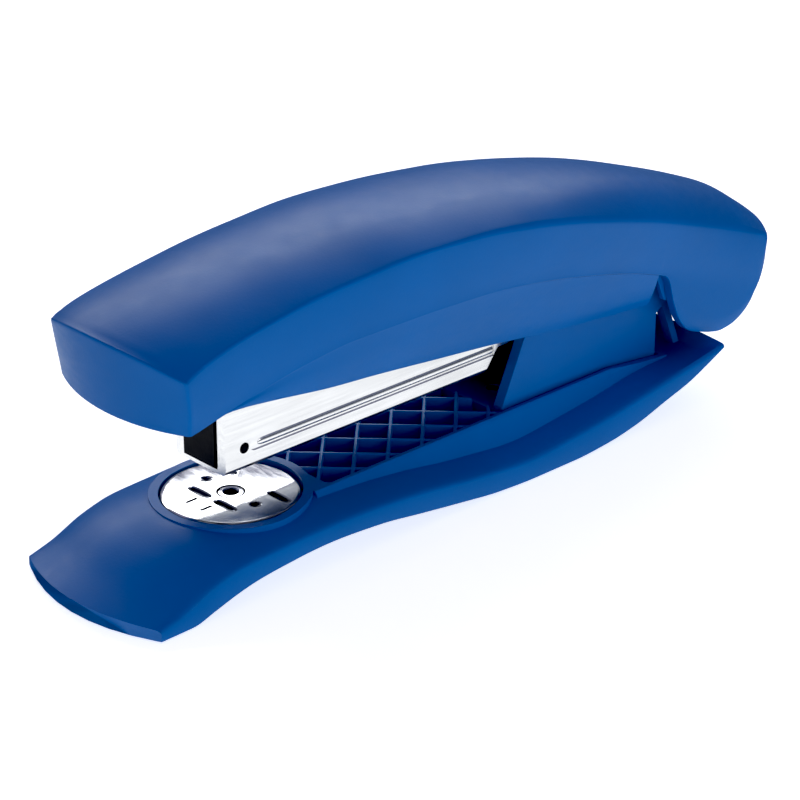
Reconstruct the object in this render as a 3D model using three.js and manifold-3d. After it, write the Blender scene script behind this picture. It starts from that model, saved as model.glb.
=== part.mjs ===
// Hand stapler: a wave-shaped moulded base with an anvil disc, a nickelled staple magazine
// and a curved handle, both turning on one steel axle at the rear.
// Lengths are millimetres. While building, X = 0 lies over the base's waist, +X is the rear,
// -Y is the right-hand side and z = 0 is the table. The whole is moved by -CENTRE_X at the end.
import * as THREE from "three";
import { mergeVertices } from "three/addons/utils/BufferGeometryUtils.js";
import Module from "manifold-3d";

const wasm = await Module();
wasm.setup();

// ---- Overall ----
const BASE_FRONT_X = -76.7;
const TAIL_END_U = 101.7;
const TAIL_BOW = 6.5;
const TAIL_REAR_X = TAIL_END_U + TAIL_BOW;
const CENTRE_X = (BASE_FRONT_X + TAIL_REAR_X) / 2;
const GAP = 0.3;
const RUN = 0.06;

// ---- Base ----
const BASE_HALF_W = 20.4;
const BASE_REAR_X = 84;
const BASE_BOW = 5.3;
const WALL = 2;
const RIM = [
  [-76.7, 2.6], [-70.7, 4.0], [-62, 7.0], [-53, 8.7], [-43.5, 9.1], [-30, 9.5], [-17, 9.1],
  [-6, 8.2], [10, 6.2], [25, 5.0], [40, 6.1], [53, 7.6], [66, 9.7], [76, 11.4], [84, 12.8],
];
const CROWN = [
  [-76.7, 0.6], [-66, 2.0], [-54, 3.1], [-46, 3.2], [-20, 2.9], [0, 3.0], [20, 3.4], [40, 3.0],
  [60, 1.8], [68, 0.4], [75, -1.2], [81.6, -1.9], [84, 0.9],
];
const CROWN_POWER = 2.6;
const BELLY = [
  [-76.7, 0.4], [-68, 0.5], [-62, 1.9], [-56, 3.4], [-50, 4.5], [-43, 5.2], [-30, 5.9], [-17, 5.2],
  [-6, 3.7], [5, 2.2], [16, 0.9], [27, 0.45], [38, 0.45], [48, 1.1], [56, 2.4], [66, 5.2], [73, 7.2],
  [79, 9.7], [84, 12.0],
];
const WELL_X0 = -22.5;
const WELL_X1 = 74.3;
const WELL_HALF_W = 11.4;
const WELL_WALL = 1.2;
const WELL_FLOOR_Z = 9.0;
const WELL_TOP_Z = 12.7;
const FLOOR_T = 1.4;
const RIB_T = 0.8;
const RIB_PITCH = 9.334;
const RIB_L = 40;
const WELL_FLARE = 2.2;
const FLARE_FOOT_Z = 6.2;
const STIFFENER_X = [-50, -8, 14, 56];
const STIFFENER_T = 1.2;
const FOOT_BOSS_WALL = 1.2;
const ABOVE = 30;
const RIB_TOP_Z = 12.5;
const LATTICE_X1 = 25.4;

const FOOT_R = 4.5;
const FOOT_SEAT_Z = 1.5;
const FEET = [
  ["foot_front_left", -68, 12], ["foot_front_right", -68, -12],
  ["foot_rear_left", 32, 13.5], ["foot_rear_right", 32, -13.5],
];

// ---- Anvil ----
const ANVIL_X = -37.5;
const ANVIL_R = 13.7;
const ANVIL_TOP_Z = 12.0;
const ANVIL_T = 1.4;
const DISH_Z = ANVIL_TOP_Z - ANVIL_T - GAP;
const COLLAR_IN_R = 14.1;
const COLLAR_OUT_R = 16.0;
const COLLAR_TOP_Z = 12.7;
const COLLAR_SLOPE = [[-70, 12.05], [-38, 12.05], [-28, 12.7], [-28, 20], [-70, 20]];
const GROOVE_D = 0.7;
// Each clinching groove: x from the disc's centre, then its two ends in y.
const ANVIL_GROOVES = [[-4.6, -7.3, -0.4], [-4.6, 0.4, 7.3], [5.4, 4.6, 11.6], [5.4, -11.6, -4.6]];
const MARK_X = [-9.4, -6.6];
const MARK_Y = [-2.2, 2.2];
const MARK_HALF_W = 0.4;
const DIMPLE_Y = [-7.4, 7.4];
const DIMPLE_R = 1.3;
const DIMPLE_D = 0.5;
const RIVET_R = 1.9;
const RIVET_HEAD_R = 2.6;
const RIVET_FOOT_Z = 7.6;
const RIVET_FOOT_T = 0.6;
const RIVET_BORE_R = 1.3;
const RIVET_BORE_D = 2;
const WASHER_T = 0.4;
const WASHER_R = 5.4;

// ---- Hinge bracket and axle ----
const AXLE_X = 92;
const AXLE_Z = 26;
const AXLE_R = 2.5;
const AXLE_END_Y = 13.6;
const SCREW_R = 1.5;
const SCREW_HEAD_T = 1.4;
const BRACKET_HEAD_R = 3.1;
const FRAME_HEAD_R = 2.7;
const CHEEK_OUT_Y = 10.6;
const CHEEK_IN_Y = 8.2;
const BRACKET_X0 = 26.1;
const BRACKET_X1 = 72.5;
const BRACKET_FLOOR_Z = WELL_FLOOR_Z + GAP;
const BRACKET_FLOOR_T = 2.2;
const BRACKET_SCREW_X = [34, 65];
const CHEEK_SIDE = [
  [26.1, 9.3], [72.5, 9.3], [72.5, 20.4], [74, 21.4], [92, 21.4], [92, 30.6], [66, 31.5], [60, 33.9],
  [36, 33.9], [32.2, 26.6], [26.1, 12.9],
];
const STRUT_SIDE = [[73.4, 24], [75.4, 24], [80.2, 11.5], [78.6, 11.5]];
const LUG_R = 4.6;
const STOP_PIN_X = 57;
const STOP_PIN_Z = 31.6;
const STOP_PIN_R = 1.2;

// ---- Magazine ----
const MAG_HALF_W = 7.4;
const STEEL = 0.8;
const MAG_FRONT_X = -44.6;
const MAG_BOTTOM_Z = 20.1;
const MAG_TOP_Z = 33.6;
const MAG_FLOOR_END_X = 24;
const MAG_SIDE = [
  [-44.6, 20.1], [24, 20.1], [27.7, 25.1], [58, 25.1], [60, 24.1], [66, 24.1], [80, 22.4], [92, 21.6],
  [92, 30.4], [70, 30.1], [47, 30.1], [43, 33.6], [-44.6, 33.6],
];
const MAG_EAR_R = 4.4;
const BRIDGE_X = [60, 66];
const BRIDGE_Z = [24.1, 24.9];
const FLANGE_IN_Y = 4.9;
const MAG_CORNER = 1;
const NOSE_TOP_Z = 34.9;
const BEAD_Z = 24.8;
const BEAD_HALF_H = 1.3;
const BEAD_D = 0.3;
const BEAD_X0 = -37.2;
const SIDE_HOLE_X = -39.9;
const SIDE_HOLE_R = 1.15;

// ---- Staples and feed ----
const CHUTE_X = -42.7;
const STAPLE_HALF_W = 6.45;
const STAPLE_WIRE = 0.6;
const STAPLE_LEG_Z = 21.5;
const STAPLE_CROWN_Z = 27.4;
const STRIP_X0 = -41.9;
const STRIP_X1 = -12.5;
const RAIL_HALF_W = 5.4;
const RAIL_X1 = 24.2;
const RAIL_Z0 = 21.3;
const RAIL_TOP_Z = 26.7;
const PUSHER_L = 13;
const ROD_Z = 24.6;
const ROD_R = 1.1;
const ROD_END_X = 30;
const SPRING_WIRE_R = 0.35;
const FEED_COIL_R = 2.0;
const SADDLE_SIDE = [[24.6, 20.4], [56, 20.4], [56, 24.8], [34, 26.4], [28.6, 26.4], [28.6, 25.4]];
const SADDLE_HALF_W = 6.2;
const RETURN_X = 48;
const RETURN_COIL_R = 3.4;
const RETURN_WIRE_R = 0.5;
const RETURN_POCKET_Z = 22.4;

// ---- Handle ----
const CAP_WALL = 2;
const CHIN_X = -66.5;
const CHIN_HALF_W = 19.6;
const CHIN_TOP_Z = 52;
const CHIN_DEPTH = 14;
const CHIN_FADE = 30;
const TOP_BOW = 2.6;
const CHIN_BOW = 4.6;
const CREASE = [
  [-66.5, 50.0], [-60, 52.2], [-50, 54.3], [-40, 55.8], [-30, 57.1], [-20, 57.9], [-6, 58.6],
  [10, 58.0], [26, 56.0], [38, 53.5], [50, 50.3], [64, 46.1], [78, 41.2], [92.4, 36.0],
  [99.2, 33.3], [101.7, 32.3],
];
const CREASE_W = [
  [-66.5, 20.2], [-58, 19.8], [-48.5, 19.5], [-35.4, 19.45], [-20, 19.6], [0, 19.9], [26.5, 20.0],
  [46, 19.3], [61, 18.3], [74, 17.4], [88.4, 16.4], [101.7, 16.0],
];
const HEIGHT = [
  [-66.5, 2.6], [-55, 3.0], [-40, 3.4], [-20, 3.8], [10, 4.5], [35, 6.3], [60, 7.7], [80, 7.8], [92, 5.8],
  [98, 3.0], [101.7, 1.3],
];
const CREST_POWER = 2.3;
const BAND = [
  [-66.5, 38.4], [-62, 38.7], [-57, 39.6], [-48, 41.4], [-34.4, 43.8], [-22, 45.1], [-5, 45.0],
  [13.4, 44.2], [29, 42.2], [45, 38.9], [60, 34.8], [67.2, 32.3],
];
const BAND_W = [
  [-66.5, 19.2], [-48, 18.6], [-22, 19.0], [0, 19.0], [29, 18.1], [45, 17.5], [67, 16.4], [101.7, 15.9],
];
const BAND_DROP = 12;
const TAIL_EDGE = [
  [67.4, 32.2], [68.4, 31.8], [69.7, 30.5], [71.3, 25.5], [72.8, 21.8], [74.2, 19.5], [77.6, 16.4],
  [81.9, 14.85], [84.3, 14.1], [87.6, 13.5], [90.8, 13.8], [94.1, 15.0], [97.2, 17.4], [98.7, 19.6],
  [100.2, 21.9], [101.0, 24.2], [101.7, 29.1],
];
const TAIL_CUT_Z = 13.1;
const TAIL_CLOSED_U = 88;
const TAIL_BOW_U0 = 80;
const TAIL_HALF_W = 16;
const OPEN_FOOT_Z = 8;
const TAIL_LIP = [[67.2, 34], [68.6, 30.2], [70.8, 25], [73.4, 24.2], [76, 24.8], [73, 34]];
const TAIL_LIP_Y = [12.9, 14.3];
const SKIRT_X0 = -60.5;
const SKIRT_X1 = 66.8;
const SKIRT_T = 1.8;
const SKIRT_LOW = [
  [-62, 38.6], [-59, 39.0], [-53, 40.0], [-49.5, 39.7], [-40, 38.4], [-27, 36.3], [-13.4, 34.6],
  [2.4, 32.4], [20, 30.0], [29, 28.6], [42.4, 26.8], [58.7, 25.3], [68.3, 24.5],
];
const SKIRT_LOW_W = [
  [-62, 18.3], [-49.5, 18.1], [-40, 17.7], [-27, 17.0], [-13.4, 16.1], [2.4, 15.1], [20, 14.0], [29, 13.5],
  [42.4, 13.2], [68.3, 13.1],
];
const SKIRT_TOP = [[-62, 46.6], [30, 46.6], [48, 45.2], [68, 39.0]];
const ARM_TOP = [[-47.5, 44.4], [30, 44.4], [48, 42.8], [68, 36.9], [80, 35.6]];
const ARM_T = 1;
const ARM_IN_Y = 11.3;
const ARM_LIP = 4;
const EAR_SIDE = [[64, 33.4], [80, 28], [92, 21.2], [92, 30.8], [86, 34], [80, 35.4], [66, 37.4]];
const EAR_R = 4.8;
const ARM_OUT_Y = 12.4;
const FRAME_SCREW_X = [-28, 22];
const BLADE_T = 0.55;
const BLADE_HALF_W = 6.2;
const BLADE_TIP_Z = 28.0;
const BLADE_TOP_Z = 42.9;
const HOLDER = [-42.1, -37.8, -6, 6, 37, 43.1];
const BLADE_RIVET_Y = [-3.2, 3.2];
const BLADE_RIVET_Z = 40.2;
const BLADE_RIVET_R = 0.9;
const BOSS_Z = 47.2;
const BOSS_R = 3.4;
const SCREW_TOP_Z = 54;
const TORSION_R = 3.7;
const TORSION_WIRE_R = 0.55;
const TORSION_HALF_L = 4;
const TORSION_LOW_LEG = [[65, -4.4, 27.6], [78, -4.3, 24.6]];
const TORSION_TOP_LEG = [[84, 4.3, 31.9], [73, 4.4, 34.4]];

// ---- Small geometry tools ----
function lerp(table, x) {
  if (x <= table[0][0]) return table[0][1];
  for (let i = 1; i < table.length; i++) {
    const [x0, v0] = table[i - 1];
    const [x1, v1] = table[i];
    if (x <= x1) return v0 + ((v1 - v0) * (x - x0)) / (x1 - x0);
  }
  return table[table.length - 1][1];
}

function solid(geometry) {
  const bare = geometry.clone();
  for (const name of ["normal", "uv"]) bare.deleteAttribute(name);
  const merged = mergeVertices(bare, 1e-4);
  return new wasm.Manifold(
    new wasm.Mesh({
      numProp: 3,
      vertProperties: merged.attributes.position.array,
      triVerts: new Uint32Array(merged.index.array),
    }),
  );
}

function box(x0, x1, y0, y1, z0, z1) {
  const g = new THREE.BoxGeometry(x1 - x0, y1 - y0, z1 - z0);
  return solid(g.translate((x0 + x1) / 2, (y0 + y1) / 2, (z0 + z1) / 2));
}

// A cylinder or cone from a to b along one axis, at the two other coordinates of `at`.
function rod(axis, at, a, b, r, sides = 20, r2 = r) {
  const g = new THREE.CylinderGeometry(r2, r, b - a, sides);
  if (axis === "x") g.rotateZ(-Math.PI / 2);
  if (axis === "z") g.rotateX(Math.PI / 2);
  const mid = (a + b) / 2;
  const where = { x: [mid, at[0], at[1]], y: [at[0], mid, at[1]], z: [at[0], at[1], mid] }[axis];
  return solid(g.translate(...where));
}

// A side-view outline [x, z] carried from y0 to y1.
function prism(outline, y0, y1) {
  const shape = new THREE.Shape(outline.map(([x, z]) => new THREE.Vector2(x, z)));
  const g = new THREE.ExtrudeGeometry(shape, { depth: y1 - y0, bevelEnabled: false });
  return solid(g.rotateX(Math.PI / 2).translate(0, y1, 0));
}

// A front-view outline [y, z] carried from x0 to x1.
function beam(outline, x0, x1) {
  const shape = new THREE.Shape(outline.map(([y, z]) => new THREE.Vector2(y, z)));
  const g = new THREE.ExtrudeGeometry(shape, { depth: x1 - x0, bevelEnabled: false });
  return solid(g.rotateX(Math.PI / 2).rotateZ(Math.PI / 2).translate(x0, 0, 0));
}

// A closed skin over rings of equal length, with flat ends.
function loft(rings) {
  const n = rings[0].length;
  const position = [];
  const index = [];
  for (const ring of rings) for (const p of ring) position.push(...p);
  for (let i = 0; i + 1 < rings.length; i++) {
    for (let j = 0; j < n; j++) {
      const a = i * n + j;
      const b = i * n + ((j + 1) % n);
      index.push(a, b, a + n, b, b + n, a + n);
    }
  }
  for (const [ring, front] of [[0, true], [rings.length - 1, false]]) {
    const flat = rings[ring].map((p) => new THREE.Vector2(p[1], p[2]));
    for (const [a, b, c] of THREE.ShapeUtils.triangulateShape(flat, [])) {
      const o = ring * n;
      if (front) index.push(o + c, o + b, o + a);
      else index.push(o + a, o + b, o + c);
    }
  }
  const g = new THREE.BufferGeometry();
  g.setAttribute("position", new THREE.Float32BufferAttribute(position, 3));
  g.setIndex(index);
  return solid(g);
}

function unite(list) {
  return list.reduce((a, b) => a.add(b));
}

function range(from, to, count) {
  return Array.from({ length: count }, (_, i) => from + ((to - from) * i) / (count - 1));
}

// ---- Base: a solid between two wave-shaped surfaces, its front edge bowed in plan ----
function baseX(u, y) {
  const fade = Math.max(0, 1 - (u - BASE_FRONT_X) / 40);
  return u + BASE_BOW * fade * (y / BASE_HALF_W) ** 2;
}

function deckZ(x, y) {
  return lerp(RIM, x) + lerp(CROWN, x) * (1 - Math.abs(y / BASE_HALF_W) ** CROWN_POWER);
}

function bellyZ(x, y) {
  return lerp(BELLY, x) + Math.min(0, lerp(CROWN, x)) * (1 - (y / BASE_HALF_W) ** 2);
}

// The whole base as one solid, drawn in by inset, lowered on top and raised underneath.
function wave(inset, topDrop, bottomLift) {
  const last = BASE_REAR_X - inset;
  const us = [...range(BASE_FRONT_X + inset, -20, 10), ...range(-12, 68, 11), 75, 79.5, 81.6];
  const ys = range(inset - BASE_HALF_W, BASE_HALF_W - inset, 11);
  const low = (u, y) => bellyZ(u, y) + bottomLift;
  const high = (u, y) => Math.max(deckZ(u, y) - topDrop, low(u, y) + 0.05);
  return loft([...us.filter((u) => u < last - 0.4), last].map((u) => [
    ...ys.map((y) => [baseX(u, y), y, low(u, y)]),
    ...[...ys].reverse().map((y) => [baseX(u, y), y, high(u, y)]),
  ]));
}

// Crossed ribs on the well's floor, in front of the hinge bracket and round the anvil's collar.
function lattice() {
  const ribs = [];
  const [z0, z1] = [WELL_FLOOR_Z - 0.5, RIB_TOP_Z];
  const half = WELL_HALF_W + 0.2;
  for (let k = -9; k <= 9; k++) {
    for (const side of [-1, 1]) {
      const g = new THREE.BoxGeometry(RIB_L, RIB_T, z1 - z0 + 1);
      g.rotateZ((side * Math.PI) / 4);
      g.translate((RIB_PITCH / 2) * (2 * k + 1), 0, (z0 + z1) / 2);
      ribs.push(solid(g));
    }
  }
  return unite(ribs)
    .intersect(box(WELL_X0 - 6, LATTICE_X1, -half, half, z0, z1))
    .subtract(rod("z", [ANVIL_X, 0], 0, ABOVE, COLLAR_OUT_R - 0.2, 40));
}

// The well's side walls and the anvil's collar, kept above the belly.
function raisedWalls() {
  const half = WELL_HALF_W + WELL_WALL;
  const flare = half + WELL_FLARE;
  const walls = beam(
    [[-flare, FLARE_FOOT_Z], [flare, FLARE_FOOT_Z], [half, WELL_TOP_Z], [-half, WELL_TOP_Z]],
    WELL_X0 - 4, WELL_X1,
  );
  const collar = rod("z", [ANVIL_X, 0], 7.4, COLLAR_TOP_Z, COLLAR_OUT_R, 40)
    .subtract(prism(COLLAR_SLOPE, -ABOVE, ABOVE));
  return walls.add(collar).intersect(wave(0, -8, 0));
}

// The hollow underneath, which leaves the well's floor and the anvil's seat in place.
function underside() {
  const half = WELL_HALF_W + WELL_WALL + 0.4;
  const ceiling = WELL_FLOOR_Z - FLOOR_T;
  return wave(WALL, WALL, -6)
    .add(box(WELL_X0, WELL_X1 - WELL_WALL, 1 - WELL_HALF_W, WELL_HALF_W - 1, -5, ceiling))
    .subtract(box(WELL_X0 - 3, WELL_X1 + 2, -half, half, ceiling, ABOVE))
    .subtract(rod("z", [ANVIL_X, 0], DISH_Z - FLOOR_T, ABOVE, COLLAR_OUT_R + 0.6, 40));
}

function makeBase() {
  const inside = wave(1, 1, 1.2);
  const t = STIFFENER_T / 2;
  const stiffeners = STIFFENER_X.map((x) => box(x - t, x + t, -19, 19, 0, 12).intersect(inside));
  const bossRoom = wave(1, 1, 0);
  const bossR = FOOT_R + FOOT_BOSS_WALL;
  const bosses = FEET.map(([, x, y]) => rod("z", [x, y], 0, 7, bossR, 20).intersect(bossRoom));
  const well = box(WELL_X0, WELL_X1 - WELL_WALL, -WELL_HALF_W, WELL_HALF_W, WELL_FLOOR_Z, ABOVE)
    .subtract(rod("z", [ANVIL_X, 0], 0, 40, COLLAR_OUT_R, 40));
  const bores = [
    rod("z", [ANVIL_X, 0], 0, 20, RIVET_R + RUN, 20),
    ...BRACKET_SCREW_X.map((x) => rod("z", [x, 0], 0, 20, SCREW_R + RUN, 16)),
    ...FEET.map(([, x, y]) => rod("z", [x, y], -1, FOOT_SEAT_Z, FOOT_R + GAP, 20)),
  ];
  const shell = wave(0, 0, 0).add(raisedWalls()).subtract(underside());
  return unite([shell, ...stiffeners, ...bosses])
    .subtract(well)
    .subtract(rod("z", [ANVIL_X, 0], DISH_Z, ABOVE, COLLAR_IN_R, 40))
    .add(lattice())
    .subtract(unite(bores));
}

function makeFoot(x, y) {
  return rod("z", [x, y], 0, FOOT_SEAT_Z - GAP, FOOT_R, 20, FOOT_R - 0.2);
}

// ---- Anvil: a turning disc with a clinching groove pair on one side and a pinning pair on the other ----
function makeAnvil() {
  const disc = rod("z", [ANVIL_X, 0], ANVIL_TOP_Z - ANVIL_T, ANVIL_TOP_Z, ANVIL_R, 48);
  const groove = (dx, y0, y1) => rod("y", [ANVIL_X + dx, ANVIL_TOP_Z + 0.5], y0, y1, GROOVE_D + 0.5, 12);
  const [low, high] = [ANVIL_TOP_Z - DIMPLE_D, ANVIL_TOP_Z + 1];
  const marks = MARK_Y.map((y) => box(
    ANVIL_X + MARK_X[0], ANVIL_X + MARK_X[1], y - MARK_HALF_W, y + MARK_HALF_W, low, high,
  ));
  const dimples = DIMPLE_Y.map((y) => rod("z", [ANVIL_X, y], low, high, DIMPLE_R, 14));
  return disc.subtract(unite([
    ...ANVIL_GROOVES.map((g) => groove(...g)), ...marks, ...dimples,
    rod("z", [ANVIL_X, 0], 0, 20, RIVET_R + RUN, 20),
    rod("z", [ANVIL_X, 0], low, 20, RIVET_HEAD_R + GAP, 24),
  ]));
}

function makeAnvilRivet() {
  return unite([
    rod("z", [ANVIL_X, 0], RIVET_FOOT_Z, ANVIL_TOP_Z - 0.1, RIVET_R, 20),
    rod("z", [ANVIL_X, 0], ANVIL_TOP_Z - 0.45, ANVIL_TOP_Z - 0.05, RIVET_HEAD_R, 24),
    rod("z", [ANVIL_X, 0], RIVET_FOOT_Z, RIVET_FOOT_Z + RIVET_FOOT_T, RIVET_HEAD_R + 1, 24),
  ]).subtract(rod("z", [ANVIL_X, 0], ANVIL_TOP_Z - RIVET_BORE_D, ABOVE, RIVET_BORE_R, 16));
}

function makeAnvilWasher() {
  const foot = RIVET_FOOT_Z + RIVET_FOOT_T;
  return rod("z", [ANVIL_X, 0], foot + 0.1, foot + 0.1 + WASHER_T, WASHER_R, 24)
    .subtract(rod("z", [ANVIL_X, 0], 0, 20, RIVET_R + RUN, 20));
}

// ---- Hinge bracket: two cheeks on one floor, running back to the axle lugs ----
function makeBracket() {
  const cheeks = [[CHEEK_IN_Y, CHEEK_OUT_Y], [-CHEEK_OUT_Y, -CHEEK_IN_Y]].map(([y0, y1]) => unite([
    prism(CHEEK_SIDE, y0, y1),
    prism(STRUT_SIDE, y0, y1),
    rod("y", [AXLE_X, AXLE_Z], y0, y1, LUG_R, 28),
  ]));
  const floor = box(
    BRACKET_X0, BRACKET_X1, -CHEEK_OUT_Y, CHEEK_OUT_Y, BRACKET_FLOOR_Z, BRACKET_FLOOR_Z + BRACKET_FLOOR_T,
  );
  return unite([...cheeks, floor]).subtract(unite([
    rod("y", [AXLE_X, AXLE_Z], -20, 20, AXLE_R + RUN, 28),
    rod("y", [STOP_PIN_X, STOP_PIN_Z], -20, 20, STOP_PIN_R + RUN, 16),
    ...BRACKET_SCREW_X.map((x) => rod("z", [x, 0], 0, 20, SCREW_R + RUN, 16)),
  ]));
}

// A pan-head screw up through the well's floor into the bracket.
function makeBracketScrew(x) {
  const head = WELL_FLOOR_Z - FLOOR_T - GAP;
  return rod("z", [x, 0], head - SCREW_HEAD_T, head, BRACKET_HEAD_R, 18, BRACKET_HEAD_R - 0.3)
    .add(rod("z", [x, 0], head - 0.5, BRACKET_FLOOR_Z + BRACKET_FLOOR_T - 0.2, SCREW_R, 14));
}

function makeAxle() {
  return rod("y", [AXLE_X, AXLE_Z], -AXLE_END_Y, AXLE_END_Y, AXLE_R, 28);
}

function makeClip(side) {
  const [a, b] = side > 0 ? [ARM_OUT_Y + GAP, AXLE_END_Y - 0.2] : [0.2 - AXLE_END_Y, -ARM_OUT_Y - GAP];
  return rod("y", [AXLE_X, AXLE_Z], a, b, AXLE_R + 1.8, 24)
    .subtract(rod("y", [AXLE_X, AXLE_Z], a - 1, b + 1, AXLE_R + RUN, 28));
}

function makeStopPin() {
  return rod("y", [STOP_PIN_X, STOP_PIN_Z], -CHEEK_OUT_Y, CHEEK_OUT_Y, STOP_PIN_R, 16);
}

// ---- Magazine: a folded channel, open on top, its front closed by two narrow flanges ----
function makeMagazine() {
  const w = MAG_HALF_W;
  const r = MAG_CORNER;
  const section = [
    [-w, MAG_BOTTOM_Z + r], [-w + r * 0.3, MAG_BOTTOM_Z + r * 0.3], [-w + r, MAG_BOTTOM_Z],
    [w - r, MAG_BOTTOM_Z], [w - r * 0.3, MAG_BOTTOM_Z + r * 0.3], [w, MAG_BOTTOM_Z + r], [w, 40], [-w, 40],
  ];
  const block = beam(section, MAG_FRONT_X, MAG_FLOOR_END_X + 6)
    .add(box(MAG_FLOOR_END_X + 5, AXLE_X + 10, -w, w, MAG_BOTTOM_Z, 40));
  const side = prism(MAG_SIDE, -w, w).add(rod("y", [AXLE_X, AXLE_Z], -w, w, MAG_EAR_R, 28));
  const inner = w - STEEL;
  const trough = unite([
    box(MAG_FRONT_X + STEEL, MAG_FLOOR_END_X + 8, -inner, inner, MAG_BOTTOM_Z + STEEL, 50),
    box(MAG_FLOOR_END_X, BRIDGE_X[0], -inner, inner, 0, 50),
    box(BRIDGE_X[0] - 1, BRIDGE_X[1] + 1, -inner, inner, BRIDGE_Z[1], 50),
    box(BRIDGE_X[1], AXLE_X + 10, -inner, inner, 0, 50),
    box(MAG_FRONT_X - 1, MAG_FRONT_X + 2, -FLANGE_IN_Y, FLANGE_IN_Y, MAG_BOTTOM_Z + STEEL, 50),
    box(MAG_FRONT_X + STEEL, CHUTE_X + 0.9, -inner + 0.1, inner - 0.1, 0, 50),
  ]);
  const beads = [-1, 1].map((s) => {
    const y0 = Math.min(s * w, s * (w - BEAD_D));
    const y1 = y0 + BEAD_D;
    return box(BEAD_X0, MAG_FLOOR_END_X + 2.6, y0, y1, BEAD_Z - BEAD_HALF_H, BEAD_Z + BEAD_HALF_H)
      .add(rod("y", [BEAD_X0, BEAD_Z], y0, y1, BEAD_HALF_H, 16));
  });
  return block.intersect(side).subtract(unite([
    trough, ...beads,
    rod("y", [SIDE_HOLE_X, BEAD_Z], -20, 20, SIDE_HOLE_R, 16),
    rod("y", [AXLE_X, AXLE_Z], -20, 20, AXLE_R + RUN, 28),
  ]));
}

function makeNose() {
  const [back, front] = [MAG_FRONT_X + STEEL - 0.1, MAG_FRONT_X - 0.4];
  return box(front, back, 0.3 - FLANGE_IN_Y, FLANGE_IN_Y - 0.3, MAG_BOTTOM_Z + STEEL + GAP, NOSE_TOP_Z)
    .add(box(front, back, -MAG_HALF_W - 0.6, MAG_HALF_W + 0.6, MAG_TOP_Z + GAP, NOSE_TOP_Z));
}

function makeRail() {
  const x0 = STRIP_X0;
  return box(x0, RAIL_X1, -RAIL_HALF_W, RAIL_HALF_W, RAIL_Z0, RAIL_TOP_Z)
    .subtract(box(x0 + STEEL, RAIL_X1 + 1, STEEL - RAIL_HALF_W, RAIL_HALF_W - STEEL, RAIL_Z0 + STEEL, 40))
    .subtract(rod("x", [0, ROD_Z], x0 - 1, x0 + 2, ROD_R + RUN, 14));
}

function makeStrip() {
  const w = STAPLE_HALF_W;
  return box(STRIP_X0, STRIP_X1, -w, w, STAPLE_LEG_Z, STAPLE_CROWN_Z)
    .subtract(box(-60, 60, STAPLE_WIRE - w, w - STAPLE_WIRE, 0, STAPLE_CROWN_Z - 0.5));
}

function makePusher() {
  const [x0, x1] = [STRIP_X1 + GAP, STRIP_X1 + GAP + PUSHER_L];
  const w = STAPLE_HALF_W - 0.1;
  const top = STAPLE_CROWN_Z + 0.2;
  const saddle = box(x0, x1, -w, w, 22, top).subtract(box(-60, 60, -5.8, 5.8, 0, RAIL_TOP_Z + GAP));
  const tongue = box(x0, x1 - 2, -4.1, 4.1, RAIL_Z0 + STEEL + GAP, top - 0.1);
  return saddle.add(tongue).subtract(rod("x", [0, ROD_Z], x0 - 1, x1 + 1, ROD_R + RUN, 14));
}

function makeSaddle() {
  return prism(SADDLE_SIDE, -SADDLE_HALF_W, SADDLE_HALF_W)
    .subtract(rod("x", [0, ROD_Z], 20, ROD_END_X + GAP, ROD_R + RUN, 14))
    .subtract(rod("z", [RETURN_X, 0], 0, RETURN_POCKET_Z, RETURN_COIL_R + 1, 24));
}

function makeRod() {
  return rod("x", [0, ROD_Z], STRIP_X0 - 0.2, ROD_END_X, ROD_R, 14);
}

// ---- Springs: a round wire swept along a helix, with straight legs on the handle's ----
function wire(points, r, steps, sides) {
  const section = range(0, 2 * Math.PI, sides + 1).slice(0, -1);
  const shape = new THREE.Shape(section.map((a) => new THREE.Vector2(r * Math.cos(a), r * Math.sin(a))));
  const path = new THREE.CatmullRomCurve3(points, false, "centripetal");
  path.getPointAt = path.getPoint;
  return solid(new THREE.ExtrudeGeometry(shape, { steps, bevelEnabled: false, extrudePath: path }));
}

function helix(axis, at, a, b, r, turns, perTurn, start = 0) {
  return range(0, 1, Math.round(turns * perTurn) + 1).map((t) => {
    const angle = start + 2 * Math.PI * turns * t;
    const [p, q] = [at[0] + r * Math.cos(angle), at[1] + r * Math.sin(angle)];
    const s = a + (b - a) * t;
    const xyz = { x: [s, p, q], y: [p, s, q], z: [p, q, s] }[axis];
    return new THREE.Vector3(...xyz);
  });
}

function makeFeedSpring() {
  const [a, b] = [STRIP_X1 + GAP + PUSHER_L + 0.7, SADDLE_SIDE[0][0] - 0.7];
  return wire(helix("x", [0, ROD_Z], a, b, FEED_COIL_R, 8, 8), SPRING_WIRE_R, 64, 5);
}

function makeReturnSpring() {
  const [a, b] = [BRACKET_FLOOR_Z + BRACKET_FLOOR_T + 0.8, RETURN_POCKET_Z - 0.8];
  return wire(helix("z", [RETURN_X, 0], a, b, RETURN_COIL_R, 4, 10), RETURN_WIRE_R, 40, 5);
}

// Coiled round the axle, with one leg on the magazine's bridge and one under the driver arm.
function makeHandleSpring() {
  const axle = [AXLE_X, AXLE_Z];
  const coil = helix("y", axle, -TORSION_HALF_L, TORSION_HALF_L, TORSION_R, 3.5, 10, -Math.PI / 2);
  const leg = (points) => points.map((p) => new THREE.Vector3(...p));
  return wire([...leg(TORSION_LOW_LEG), ...coil, ...leg(TORSION_TOP_LEG)], TORSION_WIRE_R, 56, 5);
}

// ---- Handle: an arched skin over a narrower lower shell, with a steel arm that carries the driver ----
// Height of the line where the flat lower wall turns into the band below the crease.
function bandZ(x) {
  return x < BAND[BAND.length - 1][0] ? lerp(BAND, x) : lerp(CREASE, x) - BAND_DROP;
}

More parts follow.
